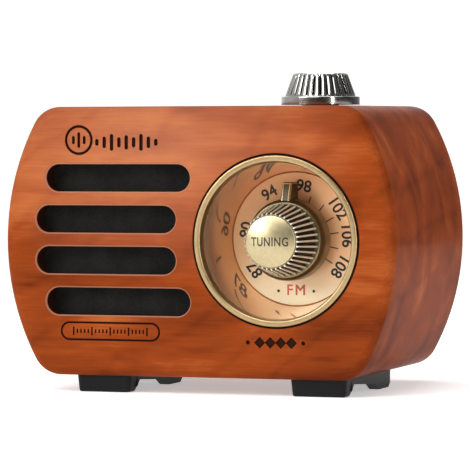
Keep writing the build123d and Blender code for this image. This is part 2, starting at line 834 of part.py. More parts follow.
with BuildPart() as power_slider:
    with BuildSketch(facing(y_flange_plate + 0.1, x_power, z_power)):
        Rectangle(*slider_size)
    extrude(amount=-(y_back - y_flange_plate - 0.2))
    with BuildSketch(facing(y_flange_plate + 0.1, x_power, z_power)):
        Rectangle(2.0, 1.6)
    extrude(amount=1.9)
    fillet(faces().sort_by(Axis.Y)[-1].edges(), 0.3)
save("power_slider", power_slider.part)

with BuildPart() as plate_screws:
    with BuildSketch(facing(y_flange_plate, x_plate, z_plate)):
        with Locations((-20.3, 0), (20.3, 0)):
            Circle(0.75)
    extrude(amount=-flange_thickness)
    with BuildSketch(facing(y_flange_plate, x_plate, z_plate)):
        with Locations((-20.3, 0), (20.3, 0)):
            Circle(1.1)
    extrude(amount=0.8)
save("plate_screws", plate_screws.part)

# ---- battery on a foam pad ----
battery_centre = (-26.0, 7.0)
battery_size = (32.0, 30.0, 7.2)
pad_thickness = 0.8
with BuildPart() as battery_pad:
    with BuildSketch(Plane.XY.offset(z_floor)):
        with Locations(battery_centre):
            Rectangle(28.0, 26.0)
    extrude(amount=pad_thickness)
save("battery_pad", battery_pad.part)

z_battery = z_floor + pad_thickness
with BuildPart() as battery_pack:
    with BuildSketch(Plane.XY.offset(z_battery)):
        with Locations(battery_centre):
            RectangleRounded(*battery_size[:2], 2.0)
    extrude(amount=battery_size[2])
    fillet(faces().group_by(Axis.Z)[-1].edges(), 1.5)
    fillet(faces().group_by(Axis.Z)[0].edges(), 1.5)
save("battery_pack", battery_pack.part)

# ---- insulated wires, held inside the case ----
wire_radius = 0.6


def wire_bundle(name, routes, radius=wire_radius):
    """One node of wires. A route is a list of points and one bend radius for all its corners."""
    wires = []
    for points, bend in routes:
        with BuildPart() as wire:
            with BuildLine() as path:
                FilletPolyline(*points, radius=bend)
            with BuildSketch(Plane(origin=path.line @ 0, z_dir=path.line % 0)):
                Circle(radius)
            sweep(path=path.line)
        wires.append(wire.part)
    save(name, Compound(children=wires))


z_plug = z_board + 1.9
left_of_plugs = headers["speaker"][0] - header_size[0] / 2
z_strip = z_grille - 23.6
wire_bundle(
    "speaker_wires",
    [
        (
            [
                (x_speaker + 2.0, y_strip + 1.02, z_strip),
                (x_speaker + 2.0, y_strip + 6.5, z_strip),
                (-13.0, y_strip + 10.0, z_strip),
                (-7.0, headers["speaker"][1] - 2.0, z_plug),
                (left_of_plugs, headers["speaker"][1] - 2.0, z_plug),
            ],
            3.0,
        ),
        (
            [
                (x_speaker - 2.0, y_strip + 1.02, z_strip),
                (x_speaker - 2.0, y_strip + 8.5, z_strip + 0.6),
                (-14.0, y_strip + 12.5, z_strip + 0.6),
                (-7.0, headers["speaker"][1] + 1.5, z_plug),
                (left_of_plugs, headers["speaker"][1] + 1.5, z_plug),
            ],
            3.0,
        ),
    ],
)
battery_edge = battery_centre[0] + battery_size[0] / 2
z_tab = z_battery + battery_size[2] / 2
wire_bundle(
    "battery_wires",
    [
        (
            [
                (battery_edge, headers["battery"][1] + side, z_tab),
                (battery_edge + 3.0, headers["battery"][1] + side, z_tab),
                (left_of_plugs - 3.0, headers["battery"][1] + side, z_plug),
                (left_of_plugs, headers["battery"][1] + side, z_plug),
            ],
            2.5,
        )
        for side in (-2.0, 2.0)
    ],
)
x_plug, y_plug = headers["volume"][:2]
z_plug_top = z_board + header_size[2]
wire_bundle(
    "volume_wires",
    [
        (
            [
                (x_dial - 5.0 + shift, y_volume + 8.5, z_ceiling - 4.0),
                (x_dial - 5.0 + shift, y_volume + 13.0, z_ceiling - 4.0),
                (x_dial - 6.0 + shift, y_volume + 14.0, z_dial + 6.0),
                (x_plug + shift, y_plug, z_plug_top + 14.0),
                (x_plug + shift, y_plug, z_plug_top),
            ],
            4.0,
        )
        for shift in (-2.5, 0.0, 2.5)
    ],
)
x_plug, y_plug = headers["tuning"][:2]
wire_bundle(
    "tuning_wires",
    [
        (
            [
                (x_plug + shift, y_cup_back + 3.5, z_dial - 8.5),
                (x_plug + shift, y_cup_back + 3.5, z_dial - 13.0),
                (x_plug + shift, y_plug, z_plug_top + 5.0),
                (x_plug + shift, y_plug, z_plug_top),
            ],
            2.5,
        )
        for shift in (-2.5, 0.0, 2.5)
    ],
)
wire_bundle(
    "antenna_wire",
    [
        (
            [
                (28.0, 23.0, z_board),
                (28.0, 23.0, 34.0),
                (46.0, 23.0, 46.0),
                (45.0, 23.0, 63.0),
                (33.0, 23.0, z_ceiling - 2.6),
                (-32.0, 23.0, z_ceiling - 2.6),
                (-47.0, 21.0, 62.0),
                (-50.0, 18.0, 44.0),
            ],
            8.0,
        )
    ],
)

# ---- feet: each a wide front pad, a rib back along its right side to a narrow heel, and a screw flange ----
z_flange = z_bottom - flange_thickness
draft = 6
pad_profile = [  # y from the foot's front, and z, of what is cut away behind the pad
    (5.0, -1.0),
    (5.0, 0.0),
    (8.4, 3.4),
    (8.4, z_flange),
    (12.0, z_flange),
    (12.0, -1.0),
]
rib_profile = [  # the rib sinks from the pad to the heel, which stands on the table
    (6.0, z_bottom),
    (6.0, 1.4),
    (8.2, 3.35),
    (29.0, 1.9),
    (33.0, 0.0),
    (42.8, 0.0),
    (44.4, 1.2),
    (foot_length, z_bottom),
]


def foot(x_foot):
    x_right = x_foot + pad_width / 2
    with BuildPart() as runner:
        with BuildSketch(Plane.XY.offset(z_bottom)) as pad_plan:
            with Locations((x_foot, y_foot_front + pad_length / 2)):
                Rectangle(pad_width, pad_length)
            fillet(pad_plan.vertices().group_by(Axis.Y)[0], 1.6)
        extrude(amount=-z_bottom, taper=draft)
        with BuildSketch(Plane.YZ.offset(x_right)):
            Polygon(*[(y_foot_front + y, z) for y, z in pad_profile], align=None)
        extrude(amount=-pad_width, mode=Mode.SUBTRACT)
        fillet(faces().group_by(Axis.Z)[0].edges(), 0.7)
        with BuildSketch(Plane.YZ.offset(x_right)):
            Polygon(*[(y_foot_front + y, z) for y, z in rib_profile], align=None)
        extrude(amount=-heel_width)
        with BuildSketch(Plane.XY.offset(z_bottom)):
            flange_length = foot_length - pad_length + flange_lap
            with Locations((x_foot, y_foot_front + foot_length - flange_length / 2)):
                Rectangle(pad_width, flange_length)
        extrude(amount=-flange_thickness)
        with BuildSketch(Plane.XY.offset(z_bottom)):
            with Locations(*foot_screw_places):
                Circle(screw_radius + glue_gap)
        extrude(amount=-z_bottom, mode=Mode.SUBTRACT)
    return runner.part


save("foot_left", foot(x_feet[0]))
save("foot_right", foot(x_feet[1]))

head_height = 1.2
with BuildPart() as foot_screws:
    with BuildSketch(Plane.XY.offset(z_flange - head_height)):
        with Locations(*foot_screw_places):
            Circle(2 * screw_radius)
    extrude(amount=head_height)
    with BuildSketch(Plane.XY.offset(z_flange)):
        with Locations(*foot_screw_places):
            Circle(screw_radius)
    extrude(amount=flange_thickness + 4.5)
save("foot_screws", foot_screws.part)
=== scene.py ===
import json
import math
import bmesh
import bpy
import mathutils
import numpy as np
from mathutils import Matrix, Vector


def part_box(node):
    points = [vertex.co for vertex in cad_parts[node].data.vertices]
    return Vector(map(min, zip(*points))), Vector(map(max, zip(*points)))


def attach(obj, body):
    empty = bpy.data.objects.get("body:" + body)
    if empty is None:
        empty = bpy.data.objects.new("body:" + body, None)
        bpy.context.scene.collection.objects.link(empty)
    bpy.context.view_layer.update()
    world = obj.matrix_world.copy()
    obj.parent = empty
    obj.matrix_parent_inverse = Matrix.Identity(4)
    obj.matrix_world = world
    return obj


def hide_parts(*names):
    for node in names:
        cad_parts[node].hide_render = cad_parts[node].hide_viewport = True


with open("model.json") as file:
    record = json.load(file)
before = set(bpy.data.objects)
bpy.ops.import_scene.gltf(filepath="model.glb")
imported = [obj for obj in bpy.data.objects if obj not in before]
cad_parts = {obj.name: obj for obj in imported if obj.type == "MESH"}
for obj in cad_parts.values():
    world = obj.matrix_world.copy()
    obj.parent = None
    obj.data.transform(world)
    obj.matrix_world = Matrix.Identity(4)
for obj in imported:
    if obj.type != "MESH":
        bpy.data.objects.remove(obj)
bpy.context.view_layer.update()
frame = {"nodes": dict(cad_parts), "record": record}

mm = 0.001
print("frame loaded:", len(frame["nodes"]), "pieces from the CAD")


def boxOf(node):
    return [np.array(corner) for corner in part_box(node)]


# places that the pieces share, read from the frame
caseLow, caseHigh = boxOf("cabinet")
caseCentre = (caseLow + caseHigh) / 2
frontY = caseLow[1]
ringLow, ringHigh = boxOf("dial_ring")
dialCentre = (ringLow + ringHigh) / 2
plateLow, plateHigh = boxOf("dial_plate")
knobLow, knobHigh = boxOf("tuning_knob")
capLow, capHigh = boxOf("knob_cap")
skirtLow, skirtHigh = boxOf("pointer_skirt")
volumeLow, volumeHigh = boxOf("volume_knob")
volumeCentre = (volumeLow + volumeHigh) / 2
collarLow, collarHigh = boxOf("volume_skirt")
lidLow, lidHigh = boxOf("volume_cap")
clothLow, clothHigh = boxOf("speaker_cloth")
boreRadius = 3.05 * mm  # both knobs sit on 6 mm shafts


def fill(tree, node, inputs):
    # each socket takes a link or a fixed value
    for key, value in inputs.items():
        if isinstance(value, bpy.types.NodeSocket):
            tree.links.new(value, node.inputs[key])
        else:
            node.inputs[key].default_value = value


def addNode(tree, kind, inputs=None, **settings):
    node = tree.nodes.new(kind)
    for key, value in settings.items():
        setattr(node, key, value)
    fill(tree, node, inputs or {})
    return node


def newMaterial(name):
    material = bpy.data.materials.new(name)
    material.use_nodes = True
    tree = material.node_tree
    tree.nodes.clear()
    shader = addNode(tree, "ShaderNodeBsdfPrincipled")
    addNode(tree, "ShaderNodeOutputMaterial", {"Surface": shader.outputs[0]})
    return material, tree, shader


def objectPoint(tree, scale=(1, 1, 1), centre=(0, 0, 0), turn=(0, 0, 0)):
    # object coordinates, moved, turned and stretched
    place = addNode(tree, "ShaderNodeTexCoord").outputs["Object"]
    shift = [-c * s for c, s in zip(centre, scale)]
    inputs = {"Vector": place, "Location": shift, "Rotation": turn, "Scale": scale}
    return addNode(tree, "ShaderNodeMapping", inputs).outputs[0]


def distance(tree, scale, centre):
    # how far a point is from a centre, with each axis weighed
    vector = objectPoint(tree, scale, centre)
    return addNode(tree, "ShaderNodeVectorMath", {0: vector}, operation="LENGTH").outputs["Value"]


def noise(tree, vector, detail=4, rough=0.55, warp=0.0):
    inputs = {"Vector": vector, "Scale": 1.0, "Detail": detail, "Roughness": rough, "Distortion": warp}
    return addNode(tree, "ShaderNodeTexNoise", inputs).outputs["Fac"]


def evenNoise(tree, scale, detail=3, rough=0.55):
    return noise(tree, objectPoint(tree, (scale,) * 3), detail, rough)


def calc(tree, operation, *values):
    return addNode(tree, "ShaderNodeMath", dict(enumerate(values)), operation=operation).outputs[0]


def product(tree, first, *others):
    for other in others:
        first = calc(tree, "MULTIPLY", first, other)
    return first


def weighted(tree, start, *terms):
    # a starting value plus each term times its share
    for term, share in terms:
        start = calc(tree, "MULTIPLY_ADD", term, share, start)
    return start


def remap(tree, value, low, high, newLow=0.0, newHigh=1.0):
    inputs = {"Value": value, "From Min": low, "From Max": high, "To Min": newLow, "To Max": newHigh}
    return addNode(tree, "ShaderNodeMapRange", inputs).outputs[0]


def mask(tree, value, rise=None, fall=None):
    # 0 to 1: it rises between the first two places and falls between the last two, all in mm
    parts = []
    if rise:
        parts.append(remap(tree, value, rise[0] * mm, rise[1] * mm))
    if fall:
        parts.append(remap(tree, value, fall[0] * mm, fall[1] * mm, 1.0, 0.0))
    return product(tree, *parts)


def ramp(tree, value, *stops):
    node = addNode(tree, "ShaderNodeValToRGB", {"Fac": value})
    elements = node.color_ramp.elements
    while len(elements) < len(stops):
        elements.new(1.0)
    for element, (place, colour) in zip(elements, stops):
        element.position = place
        element.color = (*colour, 1)
    return node.outputs["Color"]


def blendColours(tree, factor, first, second, how="MIX"):
    first, second = (c if isinstance(c, bpy.types.NodeSocket) else (*c, 1) for c in (first, second))
    inputs = {0: factor, 6: first, 7: second}
    return addNode(tree, "ShaderNodeMix", inputs, data_type="RGBA", blend_type=how).outputs[2]


def addBump(tree, shader, height, strength, depth):
    bump = addNode(tree, "ShaderNodeBump", {"Height": height, "Strength": strength, "Distance": depth})
    fill(tree, shader, {"Normal": bump.outputs[0]})


woodFinish = {
    "dark": (0.115, 0.019, 0.004),
    "middle": (0.235, 0.042, 0.0075),
    "light": (0.390, 0.104, 0.026),
    # pale: the colour of the painted sheen on the front and of the painted highlight on the slots' bevels
    "pale": (0.42, 0.19, 0.12),
    # the colour of the burnt engraving and of the painted shade in the gap round the dial's ring
    "burntAndShade": (0.022, 0.007, 0.004),
    "roughness": 0.38,
    "burntRoughness": 0.85,
    "coat": 0.14,
    "coatRoughness": 0.12,
    "coatIndex": 1.2,
    "specular": 0.08,
    "index": 1.1,
    "slant": 0.14,
    # how much each pattern adds to the tone, from a starting tone
    "start": -0.10,
    "figure": 0.50,
    "streaks": 0.13,
    "fibres": 0.17,
    "clouds": 0.40,
    "lines": -0.05,
    "paintedSheenArea": 0.18,
    "darkArea": -0.10,
    "paintedSheenCentre": (-0.012, frontY, 0.073),
    "darkCentre": (0.036, frontY, 0.012),
    "cloudScale": (16, 30, 46),
    "cloudTurn": 0.75,
    "lineTurn": 0.62,
    "lineSharpness": 12.0,
    "lineWave": {"Scale": 21.0, "Distortion": 7.0, "Detail": 2.0, "Detail Scale": 0.8},
    # how far the paler colour covers the painted sheen area and the painted highlight on the slots' bevels, and
    # the dark one the pores
    "paintedSheenCover": 0.35,
    "bevelHighlightCover": 0.6,
    "poreCover": 0.35,
    # mm behind the front, out from the middle, above or below it, and from the dial's axis
    "shellDepth": (3.1, 3.5),
    "shellReach": (50, 53),
    "boardDepth": (6.1, 6.3),
    "engravedDepth": ((0.04, 0.10), (0.56, 0.62)),
    "engravedLevel": ((23.1, 23.2), (34.6, 34.7)),
    "engravedReach": (45.9, 46.0),
    "slotLevel": (23.1, 23.2),
    "slotReach": ((-51.0, -50.8), (-1.0, -0.8)),
    "slotWallDepth": (0.5, 0.9),
    "bevelDepth": (0.06, 0.12),
    "ringGapShadeRadius": (25.25, 25.4),
}


def grain(tree, along):
    # long soft figure, fibres and pores, all stretched along one axis
    def stretched(short, long):
        scale = tuple(long if axis == along else short for axis in "XYZ")
        return objectPoint(tree, scale, turn=(0, woodFinish["slant"], 0))

    figure = noise(tree, stretched(64, 22), 3, 0.5, 1.0)
    streaks = noise(tree, stretched(520, 24), 5, 0.6, 0.5)
    fibres = noise(tree, stretched(2400, 110), 4, 0.6)
    return figure, streaks, fibres


def makeWood(name, tint=1.0):
    values = woodFinish
    material, tree, shader = newMaterial(name)
    x, y, z = addNode(tree, "ShaderNodeSeparateXYZ", {"Vector": objectPoint(tree)}).outputs
    depth = calc(tree, "SUBTRACT", y, frontY)
    outward = calc(tree, "ABSOLUTE", x)
    level = calc(tree, "ABSOLUTE", calc(tree, "SUBTRACT", z, caseCentre[2]))
    # the bent shell behind the front board has its grain running up the sides
    side = product(tree, mask(tree, depth, values["shellDepth"]), mask(tree, outward, values["shellReach"]))
    figure, streaks, fibres = (
        addNode(tree, "ShaderNodeMix", {0: side, 2: flat, 3: upright}).outputs[0]
        for flat, upright in zip(grain(tree, "X"), grain(tree, "Z"))
    )
    # broad slanting clouds; one paler area high on the front, a painted sheen; and one darker low on its right
    cloudPoint = objectPoint(tree, values["cloudScale"], turn=(0, values["cloudTurn"], 0))
    clouds = noise(tree, cloudPoint, 3, 0.5, 1.5)
    pale = remap(tree, distance(tree, (19, 26, 30), values["paintedSheenCentre"]), 0.1, 1.2, 1.0, 0.0)
    low = remap(tree, distance(tree, (22, 12, 40), values["darkCentre"]), 0.1, 1.3, 1.0, 0.0)
    # thin slanting growth lines: the peaks of a warped wave
    wave = {"Vector": objectPoint(tree, turn=(0, values["lineTurn"], 0)), **values["lineWave"]}
    lines = addNode(tree, "ShaderNodeTexWave", wave, bands_direction="Z").outputs["Fac"]
    lines = calc(tree, "POWER", lines, values["lineSharpness"])
    tone = weighted(
        tree, values["start"], (figure, values["figure"]), (streaks, values["streaks"]),
        (fibres, values["fibres"]), (clouds, values["clouds"]), (lines, values["lines"]),
        (pale, values["paintedSheenArea"]), (low, values["darkArea"]),
    )
    colour = ramp(tree, tone, (0.32, values["dark"]), (0.52, values["middle"]), (0.70, values["light"]))
    # painted sheen: the pale colour laid over the paler area
    colour = blendColours(tree, product(tree, pale, values["paintedSheenCover"]), colour, values["pale"])
    pores = product(tree, remap(tree, fibres, 0.66, 0.74), values["poreCover"])
    colour = blendColours(tree, pores, colour, values["dark"])
    # painted highlight: the slots' bevels are given the pale colour
    board = mask(tree, depth, fall=values["boardDepth"])
    slots = product(tree, mask(tree, x, *values["slotReach"]), mask(tree, level, fall=values["slotLevel"]))
    bevelHighlight = product(tree, mask(tree, depth, values["bevelDepth"]), slots, board, values["bevelHighlightCover"])
    colour = blendColours(tree, bevelHighlight, colour, values["pale"])
    # darkened: engraved lines burnt just under the front, the walls of the slots, and the edge round the dial,
    # which is painted shade of the gap round the ring
    engraved = product(
        tree, mask(tree, depth, *values["engravedDepth"]), mask(tree, level, *values["engravedLevel"]),
        mask(tree, outward, fall=values["engravedReach"]),
    )
    walls = product(tree, mask(tree, depth, values["slotWallDepth"]), slots)
    # painted shade: the wood at the edge of the dial's hole is darkened to stand for the gap round the ring
    ringGapShade = mask(tree, distance(tree, (1, 0, 1), dialCentre), fall=values["ringGapShadeRadius"])
    burntAndShade = calc(tree, "MAXIMUM", calc(tree, "MAXIMUM", engraved, walls), ringGapShade)
    burntAndShade = product(tree, burntAndShade, board)
    colour = blendColours(tree, burntAndShade, colour, values["burntAndShade"])
    colour = blendColours(tree, 1.0, colour, (tint, tint, tint), "MULTIPLY")
    rough = remap(tree, streaks, 0.3, 0.7, values["roughness"] - 0.05, values["roughness"] + 0.07)
    fill(tree, shader, {
        "Base Color": colour,
        "Roughness": calc(tree, "MAXIMUM", rough, product(tree, burntAndShade, values["burntRoughness"])),
        "Specular IOR Level": values["specular"],
        "IOR": values["index"],
        "Coat Weight": values["coat"],
        "Coat Roughness": values["coatRoughness"],
        "Coat IOR": values["coatIndex"],
    })
    addBump(tree, shader, fibres, 0.10, 0.0001)
    return material


def makeMetal(name, colour, roughness, scale=(900, 900, 900), bump=0.05, shade=0.82, metallic=1.0, groove=None):
    # plated or turned metal with uneven polish; groove is where the mesh's groove value darkens it, and to
    # what: painted shade down in the grooves
    material, tree, shader = newMaterial(name)
    fine = noise(tree, objectPoint(tree, scale), 4, 0.6)
    mixed = weighted(tree, 0.0, (fine, 0.5), (evenNoise(tree, 70), 0.5))
    shown = ramp(tree, mixed, (0.35, [c * shade for c in colour]), (0.62, colour))
    if groove:
        # painted shade: darker down in the grooves between ribs
        limits, dark = groove
        depth = addNode(tree, "ShaderNodeAttribute", attribute_name="groove").outputs["Fac"]
        shown = blendColours(tree, remap(tree, depth, *limits), shown, dark)
    rough = remap(tree, mixed, 0.3, 0.7, roughness - 0.03, roughness + 0.06)
    fill(tree, shader, {"Base Color": shown, "Roughness": rough, "Metallic": metallic})
    addBump(tree, shader, fine, bump, 0.00005)
    return material


def makePlastic(name, colour, roughness=0.5, grainSize=2600, bump=0.25, specular=0.5):
    # moulded plastic or rubber, with a fine spark-eroded texture
    material, tree, shader = newMaterial(name)
    fine = evenNoise(tree, grainSize, 3, 0.6)
    shown = ramp(tree, evenNoise(tree, 110), (0.3, [c * 0.7 for c in colour]), (0.7, colour))
    rough = remap(tree, fine, 0.3, 0.7, roughness - 0.06, roughness + 0.08)
    fill(tree, shader, {"Base Color": shown, "Roughness": rough, "Specular IOR Level": specular})
    addBump(tree, shader, fine, bump, 0.00006)
    return material


def makeCloth(name, dark, light):
    # woven yarn: the weave is in the mesh, and this adds fibres and dust
    material, tree, shader = newMaterial(name)
    yarn = evenNoise(tree, 3200, 4, 0.7)
    tone = weighted(tree, 0.0, (yarn, 0.6), (evenNoise(tree, 160, 4, 0.6), 0.4))
    shown = ramp(tree, tone, (0.38, dark), (0.66, light))
    fill(tree, shader, {"Base Color": shown, "Roughness": 0.85})
    fill(tree, shader, {"Specular IOR Level": 0.2, "Sheen Weight": 0.03})
    addBump(tree, shader, yarn, 0.5, 0.00008)
    return material


def makePlate(name, bottom, middle, top):
    # satin metal whose colour changes from the bottom of the dial to its top: painted light, cream at the
    # bottom where light falls into the cup, copper in shade at the top
    material, tree, shader = newMaterial(name)
    height = addNode(tree, "ShaderNodeSeparateXYZ", {"Vector": objectPoint(tree)}).outputs["Z"]
    fade = remap(tree, height, plateLow[2], plateHigh[2])
    fade = weighted(tree, -0.06, (fade, 1.0), (evenNoise(tree, 120), 0.12))
    shown = ramp(tree, fade, (0.06, bottom), (0.34, middle), (0.95, top))
    fine = evenNoise(tree, 1800, 3, 0.6)
    rough = remap(tree, fine, 0.3, 0.7, 0.36, 0.46)
    fill(tree, shader, {"Base Color": shown, "Roughness": rough, "Metallic": 0.2})
    addBump(tree, shader, fine, 0.04, 0.00004)
    return material


def makeBoard(name, gap, track):
    # solder mask over a pattern of tracks
    material, tree, shader = newMaterial(name)
    inputs = {"Vector": objectPoint(tree, (330, 330, 330)), "Scale": 1.0}
    cells = addNode(tree, "ShaderNodeTexVoronoi", inputs, distance="MANHATTAN").outputs["Distance"]
    tracks = remap(tree, cells, 0.42, 0.48)
    fill(tree, shader, {"Base Color": blendColours(tree, tracks, gap, track), "Roughness": 0.3})
    addBump(tree, shader, tracks, 0.3, 0.00004)
    return material


# painted shade: where the knobs' grooves are darkened, and how dark
brassGrooveShade = ((0.35, 0.65), (0.012, 0.009, 0.005))
chromeGrooveShade = ((0.25, 0.60), (0.010, 0.009, 0.008))
finishes = {
    "cherry_wood": makeWood("lacquered cherry"),
    "bare_wood": makeWood("bare blocks", 0.8),
    "grille_cloth": makeCloth("black weave", (0.002, 0.002, 0.0018), (0.015, 0.014, 0.0125)),
    "black_plastic": makePlastic("black moulding", (0.006, 0.006, 0.0065), 0.45, specular=0.15),
    "foam": makePlastic("foam", (0.05, 0.05, 0.055), 0.9, 1500, 0.8),
    "pressed_steel": makeMetal("zinc plate", (0.52, 0.53, 0.54), 0.35),
    "cone_paper": makePlastic("pressed pulp", (0.04, 0.04, 0.042), 0.85, 1200, 0.7),
    "surround_rubber": makePlastic("rubber", (0.03, 0.03, 0.03), 0.6),
    "ferrite": makePlastic("ferrite", (0.10, 0.10, 0.11), 0.6, 900, 0.5),
    "copper_winding": makeMetal("copper wire", (0.80, 0.38, 0.20), 0.25, (400, 400, 4000), 0.5),
    "polished_gold": makeMetal("gold ring", (0.43, 0.305, 0.155), 0.30, bump=0.10),
    # painted light: the plate runs from cream at the bottom to copper at the top
    "copper_gold": makePlate("satin copper plate with painted light", (0.98, 0.90, 0.64), (0.92, 0.61, 0.34), (0.82, 0.43, 0.20)),
    "aged_brass": makeMetal("satin brass", (0.52, 0.43, 0.25), 0.33, groove=brassGrooveShade),
    "dark_bronze": makeMetal("dark bronze", (0.20, 0.17, 0.10), 0.30),
    "dark_chrome": makeMetal("dark chrome", (0.50, 0.49, 0.46), 0.12, bump=0.02, groove=chromeGrooveShade),
    "screw_steel": makeMetal("black screws", (0.20, 0.20, 0.21), 0.35),
    "board_green": makeBoard("solder mask", (0.02, 0.13, 0.055), (0.04, 0.23, 0.10)),
    "component_black": makePlastic("component black", (0.03, 0.03, 0.035), 0.45),
    "capacitor_can": makeMetal("drawn can", (0.80, 0.81, 0.83), 0.25),
    "plug_white": makePlastic("nylon plug", (0.75, 0.72, 0.65), 0.45),
    "socket_steel": makeMetal("plated socket", (0.70, 0.70, 0.72), 0.22),
    "lamp_lens": makePlastic("lamp lens", (0.70, 0.78, 0.74), 0.2, 1200, 0.1),
    "battery_wrap": makePlastic("shrink sleeve", (0.08, 0.20, 0.42), 0.35),
    "wire_red": makePlastic("red insulation", (0.42, 0.03, 0.02), 0.4),
    "wire_black": makePlastic("black insulation", (0.02, 0.02, 0.02), 0.4),
}
slotOf = {part["node"]: part["material_slot"] for part in frame["record"]["subparts"]}
for nodeName, node in frame["nodes"].items():
    for place in node.material_slots:
        place.material = finishes[slotOf[nodeName]]
print("materials made and given to the CAD pieces")


def makePiece(name, points, faces, body, slotName, material=None, sharp=35, groove=None):
    # points and faces as whole arrays, doubles merged, normals turned outwards
    mesh = bpy.data.meshes.new(name)
    mesh.from_pydata(points.reshape(-1, 3), [], faces)
    if groove is not None:
        mesh.attributes.new("groove", "FLOAT", "POINT").data.foreach_set("value", groove.reshape(-1))
    tool = bmesh.new()
    tool.from_mesh(mesh)
    bmesh.ops.remove_doubles(tool, verts=tool.verts, dist=2e-7)
    bmesh.ops.dissolve_degenerate(tool, edges=tool.edges, dist=1e-7)
    bmesh.ops.recalc_face_normals(tool, faces=tool.faces)
    tool.to_mesh(mesh)
    tool.free()
    mesh.polygons.foreach_set("use_smooth", np.ones(len(mesh.polygons), bool))
    mesh.set_sharp_from_angle(angle=math.radians(sharp))
    piece = bpy.data.objects.new(name, mesh)
    bpy.context.scene.collection.objects.link(piece)
    mesh.materials.append(material or finishes[slotName])
    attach(piece, body)
    return piece


def gridQuads(rows, columns, closed):
    # faces of a grid of points, joined round the columns when closed
    wide = columns if closed else columns - 1
    row, column = np.meshgrid(np.arange(rows - 1), np.arange(wide), indexing="ij")
    after = (column + 1) % columns
    here, below = row * columns, (row + 1) * columns
    return np.stack((here + column, here + after, below + after, below + column), -1).reshape(-1, 4)


def roundedOutline(corners, steps):
    # each corner (radius, place, roundness) becomes a short quadratic curve between its two sides
    spots = np.array([corner[:2] for corner in corners], float)
    sizes = np.array([corner[2] for corner in corners], float)
    before, after = np.roll(spots, 1, 0) - spots, np.roll(spots, -1, 0) - spots
    before /= np.maximum(np.linalg.norm(before, axis=1), 1e-9)[:, None]
    after /= np.maximum(np.linalg.norm(after, axis=1), 1e-9)[:, None]
    start, end = spots + before * sizes[:, None], spots + after * sizes[:, None]
    t = np.linspace(0, 1, steps)[None, :, None]
    curve = (1 - t) ** 2 * start[:, None] + 2 * t * (1 - t) * spots[:, None] + t**2 * end[:, None]
    return curve.reshape(-1, 2)


def turnedPoints(outline, centre, along, angle, sunk=0.0):
    # an outline of (radius, place) carried round an axis along Y or Z, its radius less what is sunk
    radius, place = outline[:, :1], outline[:, 1:2]
    spread = radius * np.ones_like(angle) - sunk
    first, second = spread * np.sin(angle), spread * np.cos(angle)
    flat = place * np.ones_like(angle)
    if along == "Y":
        return np.stack((centre[0] + first, flat, centre[2] + second), -1)
    return np.stack((centre[0] + first, centre[1] + second, flat), -1)


def turnedPiece(name, outline, centre, along, segments, body, slotName, closed=True, **more):
    outline = np.vstack((outline, outline[:1])) if closed else outline
    angle = np.linspace(0, 2 * np.pi, segments, endpoint=False)[None, :]
    points = turnedPoints(outline, centre, along, angle)
    return makePiece(name, points, gridQuads(len(outline), segments, True), body, slotName, **more)


def ribbedPiece(name, head, slope, tail, share, values, centre, along, body, slotName, **more):
    # between ribs the radius sinks: half a cosine wave, narrowed by a power, times the outline's share
    outline = np.vstack((head, slope, tail, head[:1]))
    ribShare = np.concatenate((np.zeros(len(head)), share, np.zeros(len(tail) + 1)))[:, None]
    segments = values["ribs"] * 12
    angle = np.linspace(0, 2 * np.pi, segments, endpoint=False)[None, :]
    groove = ribShare * (1 - (0.5 + 0.5 * np.cos(values["ribs"] * angle)) ** values["ribSharpness"])
    points = turnedPoints(outline, centre, along, angle, values["ribDepth"] * groove)
    faces = gridQuads(len(outline), segments, True)
    return makePiece(name, points, faces, body, slotName, groove=groove, **more)


def letterPoints(text, height, bold=0.0, spacing=1.0, thick=0.02 * mm, narrow=1.0):
    # a word as a flat mesh, centred, with its capitals this high
    curve = bpy.data.curves.new("word", "FONT")
    curve.body = text
    curve.align_x = "CENTER"
    curve.size = height / 0.69  # the built-in face's capitals are 0.69 of its size
    curve.space_character = spacing
    curve.extrude = thick
    curve.bevel_depth = bold
    curve.bevel_resolution = 0
    curve.resolution_u = 6
    holder = bpy.data.objects.new("word", curve)
    bpy.context.scene.collection.objects.link(holder)
    mesh = bpy.data.meshes.new_from_object(holder.evaluated_get(bpy.context.evaluated_depsgraph_get()))
    points = np.zeros(len(mesh.vertices) * 3)
    mesh.vertices.foreach_get("co", points)
    faces = [list(face.vertices) for face in mesh.polygons]
    bpy.data.objects.remove(holder)
    bpy.data.meshes.remove(mesh)
    points = points.reshape(-1, 3)
    points[:, 2] = np.clip(points[:, 2], -thick, thick)
    points[:, 0] -= (points[:, 0].max() + points[:, 0].min()) / 2
    points[:, 0] *= narrow
    points[:, 1] -= height / 2
    return points, faces


def joinParts(parts):
    # several (points, faces) as one
    allFaces, offset = [], 0
    for points, faces in parts:
        allFaces += [[index + offset for index in face] for face in faces]
        offset += len(points)
    return np.vstack([points for points, faces in parts]), allFaces


def facingFront(points, x, z, turn, y):
    # flat lettering stood up on the front: its top points outward at this clockwise angle
    right, up = (math.cos(turn), -math.sin(turn)), (math.sin(turn), math.cos(turn))
    placed = np.empty_like(points)
    placed[:, 0] = x + points[:, 0] * right[0] + points[:, 1] * up[0]
    placed[:, 1] = y - points[:, 2]
    placed[:, 2] = z + points[:, 0] * right[1] + points[:, 1] * up[1]
    return placed


# grille cloth: a plain weave, stretched behind the slots
clothValues = {
    "pitch": 0.95 * mm,
    "relief": 0.045 * mm,
    "thickness": 0.25 * mm,
    "perThread": 3,
    "bowRadius": 66.3 * mm,
    "bowCentre": 12.75 * mm,
    "flat": (0.052, 0.052),
}


